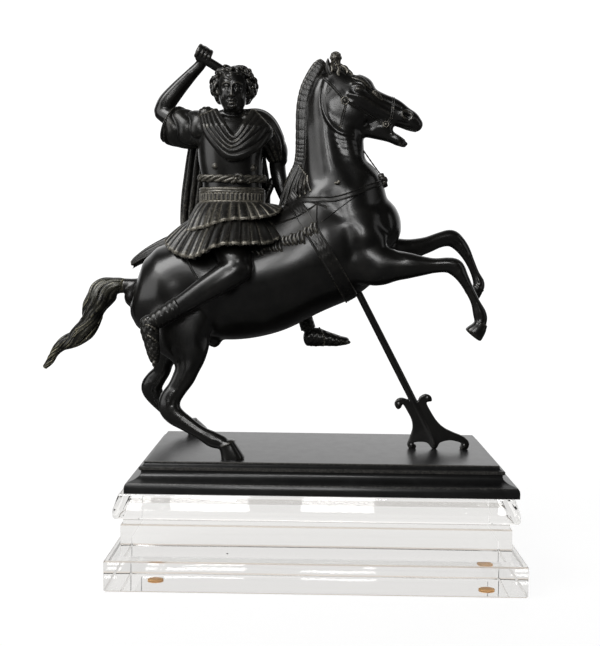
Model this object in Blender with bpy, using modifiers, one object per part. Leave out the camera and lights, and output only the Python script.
"""Equestrian statuette: a cast bronze rider on a rearing horse, on a black base and a clear plinth.

World frame in metres, +Z up, +X the way the horse faces, -Y the side that is seen from the front.
The origin is the centre of the clear plinth's underside.
The figure tables are in millimetres in the statue frame: x along, z above the black base's top, y away.
"""
import math

import bpy
import numpy as np

MM = 0.001

# Clearance between touching pieces, and how far the horse's cutter stands off its facets
GAP = 0.3
CLEARANCE = 0.5

# Facets of each cast piece, the grain of its skin and how often it is softened
HORSE_TRIANGLES = 3800
RIDER_TRIANGLES = 4300
TAIL_TRIANGLES = 500
SUPPORT_TRIANGLES = 460
HORSE_GRAIN = 1.5
RIDER_GRAIN = 1.3
SUPPORT_GRAIN = 1.0
HORSE_SOFTENING = 4
RIDER_SOFTENING = 3
TAIL_SOFTENING = 2
SUPPORT_SOFTENING = 1

# Black base: size of the top slab, then height and the moulding's overhang past the slab
SLAB_LENGTH = 398.0
SLAB_DEPTH = 162.0
BASE_HEIGHT = 32.5
BASE_PROFILE = ((0.0, 19.3), (5.5, 19.3), (11.0, 17.6), (14.5, 8.0), (17.5, 3.6), (22.0, 3.2),
                (24.0, 5.2), (26.5, 5.2), (28.5, 1.5), (29.5, 0.0), (32.5, 0.0))

# Clear plinth: three bonded blocks, the upper one with a half round edge
PLINTH_HEIGHT = 105.7
LOWER_BLOCK_TOP = 34.7
LOWER_OVERHANG = 33.5
MIDDLE_BLOCK_TOP = 71.3
MIDDLE_OVERHANG = 17.9
NECK_OVERHANG = 15.5
NECK_HEIGHT = 6.4
ROLL_OVERHANG = 25.0
ROLL_ROOT = 19.0
ARRIS = 1.2

# The base stands a little off the plinth's centre
BASE_SHIFT = 5.6
BASE_TOP = PLINTH_HEIGHT + GAP + BASE_HEIGHT

# Tables of a limb: x, z, y, half thickness in the plane of the bend, half width across it
TRUNK = ((-219.5, 181, 0, 24, 27), (-209, 178, 0, 46, 41), (-186, 183, 0, 56, 48), (-153, 193, 0, 58, 49),
         (-114, 195, 0, 66, 52), (-72, 203.5, 0, 67, 54), (-32, 220.5, 0, 64, 52), (1, 239, 0, 67.5, 47),
         (30, 254, 0, 62, 43), (52, 266, 0, 49, 38), (66, 270, 0, 33, 32))
NECK = ((19, 270, 0, 62, 40), (19, 309, 0, 52, 34), (13, 337, 0, 39, 26), (9, 364, 0, 34, 21),
        (7, 388, 0, 32, 18), (4, 410, 0, 27, 16), (5, 432, 0, 19, 14))
CREST = ((-47, 281, 0, 9, 7), (-41, 300, 0, 11, 6), (-31, 320, 0, 12, 5), (-24, 338, 0, 12, 4.5),
         (-22, 367, 0, 12.5, 4), (-22, 400, 0, 12.5, 4), (-18, 424, 0, 12.5, 3.6),
         (-11, 441, 0, 12, 3.4), (-6, 454, 0, 9, 3.2))
SKULL = ((7, 436, 0, 17, 13), (21, 421, 0, 27, 18), (37, 413, 0, 29, 20), (50, 408, 0, 25, 17),
         (64, 401.5, 0, 18.5, 13), (80, 398.5, 0, 16, 11), (92, 394.5, 0, 12.5, 11),
         (101, 389.5, 0, 11.5, 11), (108, 384.5, 0, 8.5, 9))
JAW = ((30, 388, 0, 13, 13), (48, 378.5, 0, 8, 10), (65, 374, 0, 7, 8), (78, 371, 0, 7, 7.5),
       (87, 366.5, 0, 6.6, 8), (93, 364, 0, 5, 6))
CHEEK_CENTRE = (24, 403)
CHEEK_RADII = (28, 8, 28)
CHEEK_SIDE = 12
BROW = (38, 15, 422)
BROW_RADII = (9, 7, 6)
SHOULDER = ((20, 262, 26, 30, 14), (42, 250, 28, 30, 15), (60, 240, 28, 22, 12))
EAR = ((5, 446, 9, 4, 4), (3, 452, 10, 4, 3.4), (3, 459, 10, 1.6, 1.4))
DOCK = ((-215, 192, 0, 11, 11), (-228, 193, 0, 9, 8.8), (-238.6, 192.8, 0, 8.8, 8.4))

HIND_NEAR = ((-168, 190, -24, 40, 24), (-165, 160, -32, 40, 20), (-162, 138, -37, 37, 17),
             (-157, 122, -41, 28.5, 13.5), (-155, 110, -43, 20.5, 12), (-156, 99, -46, 14.4, 10.5),
             (-160, 89, -48, 13.2, 9.5), (-167, 77, -50, 11.6, 8.5), (-174, 66, -52, 12.4, 8.5),
             (-175, 56, -53, 12.8, 8.5), (-169, 47, -54, 11.6, 8), (-155, 38, -56, 9.6, 7),
             (-138, 28, -59, 8.2, 6.6), (-124, 21, -61, 9.6, 8), (-113, 18, -62, 8, 7.5))
HOOF_HIND_NEAR = ((-109, 19, -62.5, 9, 9), (-105, 10, -63, 11, 10.5), (-101, 0, -63, 13.5, 12),
                  (-100, -3, -63, 13.5, 12))
HIND_FAR = ((-170, 190, 24, 40, 24), (-176, 160, 32, 36, 20), (-183, 130, 37, 31, 17),
            (-193, 110, 41, 20, 13), (-198, 97, 44, 13.5, 11), (-201, 84, 47, 11, 9.5),
            (-210, 72, 50, 12.8, 8.5), (-215, 62, 52, 13.6, 8.5), (-211, 51, 54, 12, 8),
            (-201, 36, 57, 8.5, 7), (-190, 25, 60, 7.6, 6.6), (-179, 17.5, 63, 9, 8),
            (-170, 15, 66, 7.5, 7.5))
HOOF_FAR = ((-168, 15, 67, 8.5, 9), (-163, 8, 69, 10.5, 10.5), (-158, 0, 70, 13, 12),
            (-157, -3, 70, 13, 12))
FORE_NEAR = ((40, 232, -24, 34, 19), (64, 222, -29, 26, 16), (84, 221, -31, 18.5, 13.5),
             (100, 221, -33, 14.8, 11.5), (114, 221, -34, 11.5, 9.5), (128, 221.5, -35, 8.8, 8),
             (142, 222.3, -36, 9, 8.2), (151.6, 219.2, -36, 10.2, 8.6), (160, 208, -36, 7.2, 7.4),
             (168, 194, -36, 5.6, 6), (175, 180.5, -36, 5.5, 5.8), (180, 168.5, -36, 7.8, 7),
             (182, 160.5, -36, 7.8, 7), (181, 154, -36, 6.4, 6.4))
HOOF_FORE_NEAR = ((183, 156, -36, 7, 7), (179.6, 149.6, -36, 9.5, 9), (173, 141.6, -36, 13.2, 11))
FORE_FAR = ((52, 246, 24, 28, 19), (78, 238, 27, 20, 15), (101, 239, 29, 14, 12), (125, 245, 32, 10.5, 9.5),
            (143, 252, 34, 9.6, 8.4), (156.5, 254.3, 35, 10.6, 8.6), (165.5, 248.6, 36, 9.4, 8.4),
            (173.6, 239, 36, 7.8, 7.4), (181.4, 225, 36, 5.8, 6), (187.8, 211, 36, 5.5, 5.8),
            (192.4, 200.5, 36, 7.2, 7), (193.2, 194, 36, 6.8, 6.8))
HOOF_FORE_FAR = ((193.2, 195, 36, 6.5, 7), (188.6, 189, 36, 8.6, 8.6), (182, 182.6, 36, 12.6, 11))
SHEATH = ((-148, 148, 0, 14, 10), (-136, 134, 0, 11, 8), (-127, 126, 0, 8.5, 7))
MEDALLION = ((66, 324, 0, 5.5, 7.5), (72, 322.5, 0, 5.5, 5.5))
FORELOCK = ((17, 444, 0, 7.5, 7), (13.5, 453, 0, 7, 6.4), (10.5, 461, 0, 7, 6.4), (10, 465, 0, 5.5, 5))

# Raised straps in the side view: points of x, z along the middle, half width and height
GIRTH = ((-12, 256), (30, 188), (42, 168))
GIRTH_HALF_WIDTH = 8.5
BREAST_BAND = ((-50, 288), (-28, 297), (-6, 307.5), (17.4, 314.6), (40, 317), (58, 317.5), (76, 318.5))
BREAST_BAND_HALF_WIDTH = 3.4
STRAP_HEIGHT = 1.6
STRAP_EDGE = 1.2

TAIL = ((-235, 192.6, 0, 7.6, 7.2), (-246, 193.2, 0, 9.2, 8.4), (-258, 188.4, 0, 13, 10),
        (-267, 178, 0, 14.5, 11.5), (-274, 166, 0, 12, 12), (-278, 151, 0, 9.8, 11),
        (-286, 138, 0, 10, 9.5), (-299, 127.5, 0, 9, 8), (-313, 121, 0, 6.2, 6),
        (-322, 111.5, 0, 4.6, 5), (-328, 101, 0, 4.2, 4.4), (-335, 93, 0, 2.8, 3))

# Support: a rod from the girth to a flat rudder shaped foot
ROD_TOP = (44.5, 184)
ROD_FOOT = (114, 52)
ROD_RADIUS = 4.4
RIB_FOOT = (137, 6)
RIB_HALF_WIDTH = 1.5
PLATE_HALF_THICKNESS = 3.2
PLATE = ((97.2, 61.8), (91.2, 60), (88.2, 53.9), (91.8, 47.8), (96, 49.6), (98.4, 53.5), (104.5, 44.1),
         (109.3, 34.4), (110.5, 24.6), (107.5, 13.7), (104.5, 5.1), (108, -1), (114, -0.5),
         (115.3, 3.9), (112.3, 7), (120.2, 8.4), (128.6, 7), (133.5, 1.5), (137, -1), (140.7, 1.5),
         (144.3, 7.6), (155.2, 10.6), (166, 8.8), (169.7, 6.4), (167.9, 1.5), (172.7, -2), (178, 1.5),
         (178.7, 8.8), (172, 15.5), (158.8, 21), (147.9, 26.5), (139.5, 34.4), (132.2, 45.4),
         (126.8, 56.3), (132.8, 58.2), (131.6, 64.3), (125, 66.7), (118.4, 63), (115.3, 57.6),
         (105.7, 59.4))

# Rider: x, z, y, half depth, half width for the body, in the statue frame
TORSO = ((-109, 255, 2, 24, 34), (-110, 275, 1, 25, 37), (-109, 300, 0, 22.5, 35),
         (-109, 322, 0, 23.5, 35.5), (-111, 344, 0, 25.5, 38), (-110, 364, 0, 25, 40),
         (-108, 380, 1, 21, 38), (-107, 391, 3, 14, 27))
THROAT = ((-107, 386, 2, 14, 17), (-107, 397, 0, 11.5, 12.5), (-108, 410, -1, 11, 11.5))
HEAD = ((-107.5, 401, -9, 9, 9.5), (-107.5, 408, -8, 13, 13.5), (-108, 418, -6, 18, 16.5),
        (-108, 428, -4, 20, 18), (-108, 438, -2, 19, 17.5), (-108, 445, -1, 14, 14))
HAIR_CENTRE = (-108.5, 3.0, 430)
HAIR_RADII = (25, 23, 20.5)
HAIR_CURLS = 90
CURL_RADIUS = 4.6
UPPER_ARM_RIGHT = ((-150, 382, 4, 14, 14), (-168, 388, 11, 12.5, 12.5), (-184, 394, 18, 11.5, 11.5),
                   (-196, 401, 22, 10, 10.5))
FOREARM_RIGHT = ((-196, 401, 22, 10, 10.5), (-189, 413, 21, 11, 11), (-175, 429, 19, 9.4, 9.6),
                 (-160, 444, 16, 7.4, 7.6), (-149, 455, 14, 6.4, 6.8), (-146, 461, 13, 7, 7.5))
FIST = ((-149, 457, 13, 6, 6.5), (-146, 463, 12, 9, 8), (-144, 470, 11, 9, 8.5), (-143, 475, 10, 6, 6.5))
HILT = ((-150, 463, 8, 5, 5), (-140, 459, 10, 5.4, 5.4), (-128, 452.5, 14, 5.6, 5.6), (-120, 448, 17, 5, 5))
NOSE = ((-108, 427, -23, 2.2, 2.4), (-108, 421, -25.5, 2.6, 3), (-108, 417, -26, 2.6, 3.6))
CHIN = (-107.5, -21, 404.5)
CHIN_RADII = (5, 4, 4)
SLEEVE = ((-134, 380.5, 2, 20, 17), (-150, 378.5, 5, 21, 18), (-166, 379.5, 10, 22, 18.5),
          (-181, 384.6, 15, 22, 18.5), (-185, 386.5, 16.5, 17, 15))
SHOULDER_KNOT = (-138, -10, 395)
KNOT_RADII = (10, 8, 8)
UPPER_ARM_LEFT = ((-82, 380, 4, 16, 15), (-68, 371, 10, 15.5, 15), (-58, 357, 17, 14, 14),
                  (-54, 345, 22, 10, 10))
FOREARM_LEFT = ((-57, 350, 21, 10, 10), (-56, 333, 24, 9.8, 9.8), (-52, 316, 22, 9, 9),
                (-46, 301, 16, 8, 8), (-40, 291, 10, 8.5, 8.5))
THIGH_RIGHT = ((-118, 264, -16, 24, 24), (-111, 247, -38, 22, 22), (-103, 230, -56, 18.5, 18.5),
               (-97, 218, -66, 15, 15))
SHIN_RIGHT = ((-97, 217, -67, 14.5, 13.5), (-112, 205, -71, 14, 13), (-130, 193, -72, 13.4, 12.6),
              (-150, 180, -72, 11.6, 11), (-168, 169, -71, 10, 9.8), (-183, 160, -70.5, 9.4, 9.2),
              (-192, 154, -70, 9.4, 9))
FOOT_RIGHT = ((-195, 158, -70, 8, 8), (-193, 146, -70, 9.6, 8.5), (-191.5, 134, -70, 8, 8.4),
              (-189.5, 121, -70, 6.8, 8.6), (-187.5, 111, -70, 4.6, 7))
THIGH_LEFT = ((-100, 264, 16, 24, 24), (-84, 256, 38, 22, 22), (-63, 244, 58, 18.5, 18.5),
              (-48, 234, 68, 15, 15))
SHIN_LEFT = ((-47, 234, 69, 14.5, 13.5), (-41, 216, 71, 13.6, 13), (-35, 196, 71, 12.4, 12),
             (-28, 174, 70, 10, 10), (-22, 155, 69, 8.6, 8.6), (-18, 140, 68, 8.8, 8.6))
FOOT_LEFT = ((-16, 127, 68, 11, 8.5), (-6, 127, 68, 11.5, 9), (7, 125, 68, 9, 9.2), (21, 123, 68, 7, 9.4),
             (32, 122.5, 68, 5.2, 7.8))
SCABBARD = ((-62, 322, 30, 4.6, 3.4), (-70, 302, 30, 4.6, 3.4), (-80, 277, 32, 4.4, 3.2),
            (-88, 255, 36, 3.6, 3))

CAPE_LEFT = ((-96, 387, 2, 16, 18), (-79, 382, 6, 20, 19), (-64, 367, 12, 19, 18), (-57, 351, 17, 14, 15))
BOOT_BANDS = ((0.0, 12.4), (0.34, 12.0), (0.68, 11.4), (1.0, 11.6))
BOOT_TOP_RIGHT = ((-164, 171.5, -71), (-184, 159, -70.5))
BOOT_TOP_LEFT = ((-27, 171, 70), (-21, 150, 69))

# Cloth over the chest: where the folds start, how low they hang and where they end
FOLD_START = (-139, 394, -8)
FOLD_LOWEST = ((-113, 350), (-112, 360), (-111, 370), (-110, 380))
FOLD_END = (-74, 388, -6)
FOLD_RADIUS = 5.0
FOLD_BELLY = (3, 5, 8)
CHEST_DEPTH = 25

# Cloak: x, z, y, half width, fold depth
CLOAK = ((-109, 391, 8, 34, 0.5), (-116, 376, 22, 43, 1.5), (-118, 345, 28, 47, 2.5),
         (-119, 312, 31, 51, 3.5), (-121, 285, 36, 52, 4), (-124, 262, 42, 51, 4),
         (-127, 250, 47, 48, 4))
CLOAK_FOLDS = 5
CLOAK_THICKNESS = 3.6
CLOAK_END = ((-140, 262, 16, 20, 0.5), (-168, 257, 20, 18, 1), (-192, 249, 22, 15, 1.2),
             (-214, 238, 24, 11, 1.2), (-230, 226, 26, 7.5, 0.8), (-236, 219.5, 27, 4.5, 0.2))

# Skirt tiers: start height, half extents at the start and the hem, the hem's centre, then its level,
# tilt and dip
WAIST_X = -109
TIER_WALL = 5.0
TIERS = (dict(top=301, start=(34, 23), radii=(53, 46), centre=-105, hem=(272, 13, 6), pleats=22, wave=2.2),
         dict(top=278, start=(42, 33), radii=(69, 61), centre=-116, hem=(258, 11, 22), pleats=30, wave=2.4))


def smooth_rows(rows, steps):
    """Catmull-Rom curve through the rows of a limb table."""
    points = np.array(rows, float)
    first = 2 * points[0] - points[1]
    last = 2 * points[-1] - points[-2]
    points = np.vstack([first, points, last])
    curve = []
    for i in range(1, len(points) - 2):
        p0, p1, p2, p3 = points[i - 1:i + 3]
        for t in np.linspace(0, 1, steps, endpoint=False):
            curve.append(0.5 * (2 * p1 + (p2 - p0) * t + (2 * p0 - 5 * p1 + 4 * p2 - p3) * t ** 2
                                + (3 * p1 - p0 - 3 * p2 + p3) * t ** 3))
    curve.append(points[-2])
    return np.array(curve)


def limb(rows, side=(0, 1, 0), steps=6, around=28, square=2.0, round_ends=0.8):
    """Closed tube along a limb table: ellipse sections square to the path, with domed ends."""
    curve = smooth_rows(rows, steps)
    path = curve[:, [0, 2, 1]]
    tangent = np.gradient(path, axis=0)
    tangent /= np.linalg.norm(tangent, axis=1)[:, None]
    sizes = np.maximum(curve[:, 3:5], 0.4)
    side = np.array(side, float)
    rings = []
    dome = np.linspace(math.pi / 2, 0, 5)[:-1]
    start_bulge = tangent[0] * sizes[0].min() * round_ends
    end_bulge = tangent[-1] * sizes[-1].min() * round_ends
    first = [(path[0] - start_bulge * math.sin(a), tangent[0], sizes[0] * math.cos(a)) for a in dome]
    middle = list(zip(path, tangent, sizes))
    last = [(path[-1] + end_bulge * math.sin(a), tangent[-1], sizes[-1] * math.cos(a)) for a in dome[::-1]]
    angle = np.linspace(0, 2 * math.pi, around, endpoint=False)
    across = np.sign(np.cos(angle)) * np.abs(np.cos(angle)) ** (2 / square)
    along = np.sign(np.sin(angle)) * np.abs(np.sin(angle)) ** (2 / square)
    for centre, direction, size in first + middle + last:
        wide = side - direction * side.dot(direction)
        wide /= np.linalg.norm(wide)
        thick = np.cross(direction, wide)
        thick /= np.linalg.norm(thick)
        rings.append(centre + across[:, None] * wide * size[1] + along[:, None] * thick * size[0])
    return skin(np.array(rings))


def skin(rings, closed_ends=True):
    """Quads between successive rings; the end rings are shut by a polygon."""
    count, around = rings.shape[:2]
    faces = []
    for i in range(count - 1):
        for j in range(around):
            k = (j + 1) % around
            faces.append((i * around + j, (i + 1) * around + j, (i + 1) * around + k, i * around + k))
    if closed_ends:
        faces.append(tuple(range(around)))
        faces.append(tuple(range((count - 1) * around, count * around))[::-1])
    return rings.reshape(-1, 3), faces


def ball(centre, radii, around=20):
    """Ellipsoid as a stack of rings, centre in x, y, z."""
    rings = []
    for a in np.linspace(0.06, math.pi - 0.06, around // 2 + 1):
        turn = np.linspace(0, 2 * math.pi, around, endpoint=False)
        level = np.full(around, math.cos(a))
        ring = np.stack([np.cos(turn) * math.sin(a), np.sin(turn) * math.sin(a), level], axis=1)
        rings.append(np.array(centre) + ring * np.array(radii))
    return skin(np.array(rings))


def join(shapes):
    """One list of points and faces from several shapes."""
    points = []
    faces = []
    for shape_points, shape_faces in shapes:
        start = sum(len(p) for p in points)
        points.append(shape_points)
        faces.extend(tuple(start + i for i in face) for face in shape_faces)
    return np.vstack(points), faces


def tier(top, start, radii, centre, hem, pleats, wave):
    """Pleated ring of cloth from the waist to a hem: the outer face down, the inner face back up."""
    turn = np.linspace(0, 2 * math.pi, pleats * 6, endpoint=False)
    ripple = np.cos(turn * pleats)
    rings = []
    for inner in (False, True):
        spread = np.linspace(0, 1, 9)
        for t in (spread[::-1] if inner else spread):
            reach = t ** 0.8
            rx = start[0] * (1 - reach) + radii[0] * reach
            ry = start[1] * (1 - reach) + radii[1] * reach
            cx = WAIST_X * (1 - t) + centre * t
            low = hem[0] + hem[1] * np.cos(turn) - hem[2] * np.sin(turn) ** 2
            z = top + (low - top) * t ** 1.25
            grow = wave * ripple * min(1.0, 0.25 + t) - (TIER_WALL if inner else 0.0)
            rings.append(np.stack([cx + (rx + grow) * np.cos(turn), (ry + grow) * np.sin(turn), z], axis=1))
    points, faces = skin(np.array(rings), closed_ends=False)
    around = len(turn)
    last = (len(rings) - 1) * around
    for j in range(around):
        k = (j + 1) % around
        faces.append((last + j, j, k, last + k))
    return points, faces


def sheet(rows, side, folds, thickness):
    """Cloth strip along a line of x, z, y, half width and fold depth, with lengthwise folds."""
    line = smooth_rows(rows, 6)
    path = line[:, [0, 2, 1]]
    tangent = np.gradient(path, axis=0)
    tangent /= np.linalg.norm(tangent, axis=1)[:, None]
    side = np.array(side, float)
    u = np.linspace(-1, 1, 41)
    rings = []
    for centre, direction, (wide, depth) in zip(path, tangent, line[:, 3:5]):
        across = side - direction * side.dot(direction)
        across /= np.linalg.norm(across)
        out = np.cross(across, direction)
        lift = depth * np.cos(u * math.pi * folds)
        front = centre + u[:, None] * wide * across + (lift + thickness / 2)[:, None] * out
        back = centre + u[:, None] * wide * across + (lift - thickness / 2)[:, None] * out
        rings.append(np.vstack([front, back[::-1]]))
    return skin(np.array(rings))


def plate(outline, half_thickness, steps=4):
    """Flat piece from a smooth closed outline of x, z."""
    points = np.array(outline, float)
    count = len(points)
    curve = []
    for i in range(count):
        p0, p1, p2, p3 = (points[(i + k) % count] for k in (-1, 0, 1, 2))
        for t in np.linspace(0, 1, steps, endpoint=False):
            curve.append(0.5 * (2 * p1 + (p2 - p0) * t + (2 * p0 - 5 * p1 + 4 * p2 - p3) * t ** 2
                                + (3 * p1 - p0 - 3 * p2 + p3) * t ** 3))
    curve = np.array(curve)
    flat = np.zeros(len(curve))
    front = np.stack([curve[:, 0], flat - half_thickness, curve[:, 1]], axis=1)
    back = np.stack([curve[:, 0], flat + half_thickness, curve[:, 1]], axis=1)
    return skin(np.array([front, back]))


def curls():
    """Locks as small balls spread over the hair, leaving the face free."""
    shapes = []
    for i in range(HAIR_CURLS):
        up = 1 - 2 * (i + 0.5) / HAIR_CURLS
        turn = i * math.pi * (3 - math.sqrt(5))
        flat = math.sqrt(1 - up * up)
        out = np.array((flat * math.cos(turn), flat * math.sin(turn), up))
        in_face = out[1] < -0.45 and out[2] < 0.42
        if in_face or out[2] < -0.8:
            continue
        centre = np.array(HAIR_CENTRE) + out * (np.array(HAIR_RADII) + 1.0)
        shapes.append(ball(centre, (CURL_RADIUS,) * 3, 10))
    return shapes


def chest_folds():
    """Rolls of cloth slung from the right shoulder to the left one."""
    shapes = []
    start = np.array(FOLD_START, float)
    end = np.array(FOLD_END, float)
    out, down, front = FOLD_BELLY
    for x, z in FOLD_LOWEST:
        middle = np.array((x, z, -CHEST_DEPTH))
        right = (start + middle) / 2 - (out, down, front)
        left = (end + middle) / 2 - (-out, down, front)
        rows = [(*point, FOLD_RADIUS, FOLD_RADIUS) for point in (start, right, middle, left, end)]
        shapes.append(limb(rows, side=(0.2, 1, 0)))
    return shapes


def bands(top, bottom):
    """Rings round the leg at the top of a boot."""
    shapes = []
    top = np.array(top, float)
    bottom = np.array(bottom, float)
    step = (bottom - top) / np.linalg.norm(bottom - top)
    for place, radius in BOOT_BANDS:
        centre = top + (bottom - top) * place
        rows = [(*(centre - step * 1.6), radius, radius), (*(centre + step * 1.6), radius, radius)]
        shapes.append(limb(rows, round_ends=0.1))
    return shapes


def mesh_object(name, shape, collection):
    """Object in the given collection, from statue frame millimetres to world metres."""
    points, faces = shape
    world = (points + np.array((BASE_SHIFT, 0.0, BASE_TOP))) * MM
    mesh = bpy.data.meshes.new(name)
    mesh.from_pydata(world.tolist(), [], faces)
    mesh.update()
    thing = bpy.data.objects.new(name, mesh)
    collection.objects.link(thing)
    return thing


def fuse(thing, voxel, smooth_steps):
    """The cast form: overlapping limbs become one skin, softened where they meet."""
    remesh = thing.modifiers.new("one skin", "REMESH")
    remesh.mode = "VOXEL"
    remesh.voxel_size = voxel * MM
    soften = thing.modifiers.new("soften", "SMOOTH")
    soften.factor = 0.5
    soften.iterations = smooth_steps
    graph = bpy.context.evaluated_depsgraph_get()
    cast = bpy.data.meshes.new_from_object(thing.evaluated_get(graph))
    thing.modifiers.clear()
    thing.data = cast


def vertex_values(thing, name):
    """One vector for each vertex: its place or its normal."""
    values = np.empty(len(thing.data.vertices) * 3)
    thing.data.vertices.foreach_get(name, values)
    return values.reshape(-1, 3)


def place_vertices(thing, points):
    """Write the vertices' places back."""
    thing.data.vertices.foreach_set("co", points.ravel())
    thing.data.update()


def emboss(thing, line, half_width):
    """Raise a strap on both sides of the piece along a line of x, z in the side view."""
    points = vertex_values(thing, "co")
    normals = vertex_values(thing, "normal")
    flat = points[:, [0, 2]] / MM - (BASE_SHIFT, BASE_TOP)
    away = np.full(len(flat), np.inf)
    for start, end in zip(np.array(line[:-1], float), np.array(line[1:], float)):
        along = end - start
        t = np.clip((flat - start) @ along / along.dot(along), 0, 1)
        away = np.minimum(away, np.linalg.norm(flat - start - t[:, None] * along, axis=1))
    rise = np.clip((half_width + STRAP_EDGE - away) / STRAP_EDGE, 0, 1)
    place_vertices(thing, points + normals * (rise * STRAP_HEIGHT * MM)[:, None])


def stand(thing):
    """Flat soles just above the base's top."""
    points = vertex_values(thing, "co")
    points[:, 2] = np.maximum(points[:, 2], (BASE_TOP + GAP) * MM)
    place_vertices(thing, points)


def thin(thing, triangles):
    """Fewer, larger facets that keep the form."""
    faces = sum(len(p.vertices) - 2 for p in thing.data.polygons)
    reduce = thing.modifiers.new("facets", "DECIMATE")
    reduce.ratio = min(1.0, triangles / faces)
    reduce.use_collapse_triangulate = True


def cut(thing, cutter):
    """Take the cutter's volume out of a piece."""
    boolean = thing.modifiers.new("clearance", "BOOLEAN")
    boolean.operation = "DIFFERENCE"
    boolean.object = cutter


def finish(name, colour, roughness, metallic, thing, alpha=1.0):
    """A Principled material of its own for one piece."""
    material = bpy.data.materials.new(name)
    material.use_nodes = True
    shader = material.node_tree.nodes["Principled BSDF"]
    shader.inputs["Base Color"].default_value = (*colour, 1.0)
    shader.inputs["Roughness"].default_value = roughness
    shader.inputs["Metallic"].default_value = metallic
    shader.inputs["Alpha"].default_value = alpha
    thing.data.materials.clear()
    thing.data.materials.append(material)


def block(name, profile, length, depth, collection, low, shift):
    """Moulded block: the same profile of height and overhang carried round a rectangle."""
    rings = []
    for height, overhang in profile:
        x = length / 2 + overhang
        y = depth / 2 + overhang
        rings.append([(-x, -y, height), (x, -y, height), (x, y, height), (-x, y, height)])
    points, faces = skin(np.array(rings, float))
    faces = [face[::-1] for face in faces]
    place = np.array((shift - BASE_SHIFT, 0.0, low - BASE_TOP))
    thing = mesh_object(name, (points + place, faces), collection)
    return thing


def plinth_profile():
    """Heights and overhangs of the clear plinth, from its underside up."""
    profile = [(0.0, LOWER_OVERHANG), (LOWER_BLOCK_TOP - ARRIS, LOWER_OVERHANG),
               (LOWER_BLOCK_TOP, LOWER_OVERHANG - ARRIS),
               (LOWER_BLOCK_TOP + 0.01, MIDDLE_OVERHANG), (MIDDLE_BLOCK_TOP - ARRIS, MIDDLE_OVERHANG),
               (MIDDLE_BLOCK_TOP, MIDDLE_OVERHANG - ARRIS), (MIDDLE_BLOCK_TOP + 0.01, NECK_OVERHANG),
               (MIDDLE_BLOCK_TOP + NECK_HEIGHT, NECK_OVERHANG)]
    bottom = MIDDLE_BLOCK_TOP + NECK_HEIGHT
    middle = (bottom + PLINTH_HEIGHT) / 2
    half = (PLINTH_HEIGHT - bottom) / 2
    for a in np.linspace(-math.pi / 2, math.pi / 2, 13):
        profile.append((middle + half * math.sin(a) + (0.01 if a < -1.5 else 0.0),
                        ROLL_ROOT + (ROLL_OVERHANG - ROLL_ROOT) * math.cos(a)))
    return profile


def horse_shapes():
    """Every limb of the horse."""
    shapes = [limb(TRUNK, around=40), limb(NECK, around=32), limb(CREST, square=2.4), limb(SKULL), limb(JAW)]
    shapes.append(limb(DOCK, round_ends=0.1))
    for rows in (HIND_NEAR, HIND_FAR, FORE_NEAR, FORE_FAR):
        shapes.append(limb(rows))
    for rows in (HOOF_HIND_NEAR, HOOF_FAR, HOOF_FORE_NEAR, HOOF_FORE_FAR):
        shapes.append(limb(rows, square=2.5, round_ends=0.15))
    for side in (-1, 1):
        shapes.append(ball((CHEEK_CENTRE[0], side * CHEEK_SIDE, CHEEK_CENTRE[1]), CHEEK_RADII))
        shapes.append(ball((BROW[0], side * BROW[1], BROW[2]), BROW_RADII))
        for rows in (EAR, SHOULDER):
            shapes.append(limb([(x, z, side * y, thick, wide) for x, z, y, thick, wide in rows]))
    shapes.append(limb(FORELOCK))
    shapes.append(limb(SHEATH))
    shapes.append(limb(MEDALLION))
    return shapes


def rider_shapes():
    """Every limb of the rider, with the dress."""
    flat = dict(side=(1, 0, 0))
    shapes = [limb(TORSO, around=36, **flat), limb(THROAT, **flat), limb(HEAD, **flat)]
    shapes.append(ball(HAIR_CENTRE, HAIR_RADII))
    for rows in (UPPER_ARM_RIGHT, FOREARM_RIGHT, FIST, HILT, SLEEVE, UPPER_ARM_LEFT, FOREARM_LEFT, SCABBARD):
        shapes.append(limb(rows))
    for rows in (THIGH_RIGHT, SHIN_RIGHT, THIGH_LEFT, SHIN_LEFT, FOOT_LEFT):
        shapes.append(limb(rows))
    shapes.extend((limb(FOOT_RIGHT), limb(CAPE_LEFT), limb(NOSE, **flat)))
    shapes.extend((ball(CHIN, CHIN_RADII), ball(SHOULDER_KNOT, KNOT_RADII)))
    shapes.extend(curls() + chest_folds() + bands(*BOOT_TOP_RIGHT) + bands(*BOOT_TOP_LEFT))
    shapes.append(sheet(CLOAK, (1, 0, 0), CLOAK_FOLDS, CLOAK_THICKNESS))
    shapes.append(sheet(CLOAK_END, (0, 1, 0), 1.5, CLOAK_THICKNESS))
    for values in TIERS:
        shapes.append(tier(**values))
    return shapes


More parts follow.
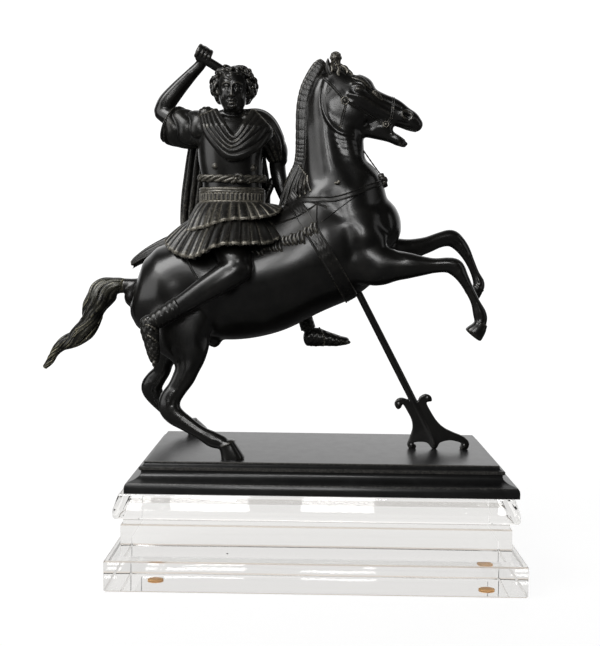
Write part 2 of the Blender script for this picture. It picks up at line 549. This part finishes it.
def build():
    """All the pieces, each in the statuette's collection."""
    for thing in list(bpy.data.objects):
        bpy.data.objects.remove(thing)
    parts = bpy.data.collections.new("equestrian_statuette")
    cutters = bpy.data.collections.new("cutters")
    for collection in (parts, cutters):
        bpy.context.scene.collection.children.link(collection)

    plinth = block("clear_plinth", plinth_profile(), SLAB_LENGTH, SLAB_DEPTH, parts, 0.0, 0.0)
    base = block("base", BASE_PROFILE, SLAB_LENGTH, SLAB_DEPTH, parts, PLINTH_HEIGHT + GAP, BASE_SHIFT)
    horse = mesh_object("horse", join(horse_shapes()), parts)
    fuse(horse, HORSE_GRAIN, HORSE_SOFTENING)
    emboss(horse, GIRTH, GIRTH_HALF_WIDTH)
    emboss(horse, BREAST_BAND, BREAST_BAND_HALF_WIDTH)
    stand(horse)
    clearance = bpy.data.objects.new("horse_clearance", horse.data.copy())
    cutters.objects.link(clearance)
    thin(horse, HORSE_TRIANGLES)
    thin(clearance, HORSE_TRIANGLES)
    swell = clearance.modifiers.new("clearance", "DISPLACE")
    swell.mid_level = 0.0
    swell.strength = CLEARANCE * MM
    clearance.hide_render = True
    clearance.display_type = "WIRE"

    rider = mesh_object("rider", join(rider_shapes()), parts)
    fuse(rider, RIDER_GRAIN, RIDER_SOFTENING)
    thin(rider, RIDER_TRIANGLES)
    cut(rider, clearance)
    tail = mesh_object("tail", limb(TAIL), parts)
    fuse(tail, RIDER_GRAIN, TAIL_SOFTENING)
    thin(tail, TAIL_TRIANGLES)
    cut(tail, clearance)
    rod = limb(((*ROD_TOP, 0, ROD_RADIUS, ROD_RADIUS), (*ROD_FOOT, 0, ROD_RADIUS, ROD_RADIUS),
                (*RIB_FOOT, 0, RIB_HALF_WIDTH, PLATE_HALF_THICKNESS + RIB_HALF_WIDTH)))
    support = mesh_object("support", join([rod, plate(PLATE, PLATE_HALF_THICKNESS)]), parts)
    fuse(support, SUPPORT_GRAIN, SUPPORT_SOFTENING)
    stand(support)
    thin(support, SUPPORT_TRIANGLES)
    cut(support, clearance)
    bronze = (0.022, 0.021, 0.020)
    for thing in (horse, rider, tail, support):
        finish(thing.name + "_bronze", bronze, 0.32, 0.6, thing)
    finish("base_black", (0.018, 0.018, 0.018), 0.3, 0.4, base)
    finish("clear_acrylic", (0.95, 0.97, 0.98), 0.05, 0.0, plinth, 0.3)


build()
